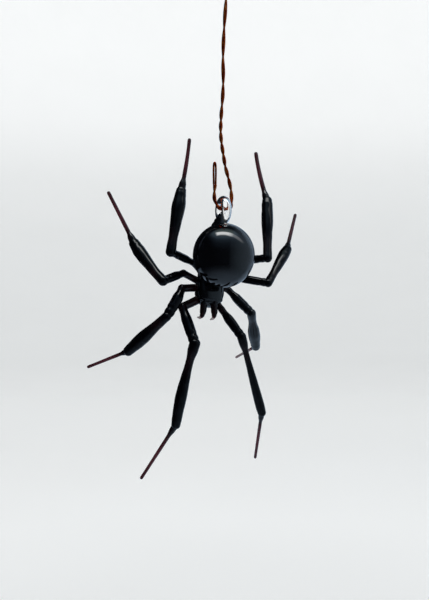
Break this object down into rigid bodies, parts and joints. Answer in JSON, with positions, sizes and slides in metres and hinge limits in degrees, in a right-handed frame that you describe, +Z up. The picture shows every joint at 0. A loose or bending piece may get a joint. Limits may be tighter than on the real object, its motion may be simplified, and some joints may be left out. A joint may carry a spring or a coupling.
{
  "type": "glass spider hanging ornament",
  "caption": "Flame-worked black glass spider with jointed-looking fused legs, hanging by a clear glass ring from a twisted copper wire hook.",
  "frame": {"origin": "inner top of the wire's top loop, where a hook or nail carries the ornament", "axes": "+Z up along the hanging wire, head of the spider at -Z; -Y out of the spider's back; +X to the spider's left"},
  "size_m": [0.0555, 0.0351, 0.1298],
  "materials": {
    "black_glass": "flame-polished gloss, opaque black glass",
    "amethyst_glass": "gloss, very dark amethyst glass that shows red-brown where thin",
    "clear_glass": "clear flame-polished glass",
    "copper_wire": "darkened soft copper, satin"
  },
  "bodies": {
    "wire": {"top_loop": "copper_wire", "hanging_wire": "copper_wire", "wire_hook": "copper_wire", "folded_end": "copper_wire"},
    "spider": {"abdomen": "black_glass", "cephalothorax": "black_glass", "ring_foot": "black_glass", "hanging_ring": "clear_glass", "right_fang": "amethyst_glass", "left_fang": "amethyst_glass", "right_1_hip_stub": "amethyst_glass", "right_1_femur": "black_glass", "right_1_tibia": "black_glass", "right_1_tip": "amethyst_glass", "right_2_hip_stub": "amethyst_glass", "right_2_femur": "black_glass", "right_2_tibia": "black_glass", "right_2_tip": "amethyst_glass", "right_3_hip_stub": "amethyst_glass", "right_3_femur": "black_glass", "right_3_tibia": "black_glass", "right_3_tip": "amethyst_glass", "right_4_hip_stub": "amethyst_glass", "right_4_femur": "black_glass", "right_4_tibia": "black_glass", "right_4_tip": "amethyst_glass", "left_1_hip_stub": "amethyst_glass", "left_1_femur": "black_glass", "left_1_tibia": "black_glass", "left_1_tip": "amethyst_glass", "left_2_hip_stub": "amethyst_glass", "left_2_femur": "black_glass", "left_2_tibia": "black_glass", "left_2_tip": "amethyst_glass", "left_3_hip_stub": "amethyst_glass", "left_3_femur": "black_glass", "left_3_tibia": "black_glass", "left_3_tip": "amethyst_glass", "left_4_hip_stub": "amethyst_glass", "left_4_femur": "black_glass", "left_4_tibia": "black_glass", "left_4_tip": "amethyst_glass"}
  },
  "joints": [
    {"name": "ring_swing", "type": "hinge", "parent": "wire", "child": "spider", "pos_m": [-0.0008, 0, -0.0599], "axis": [0.9397, 0.342, 0], "range_deg": [-110, 120]}
  ]
}
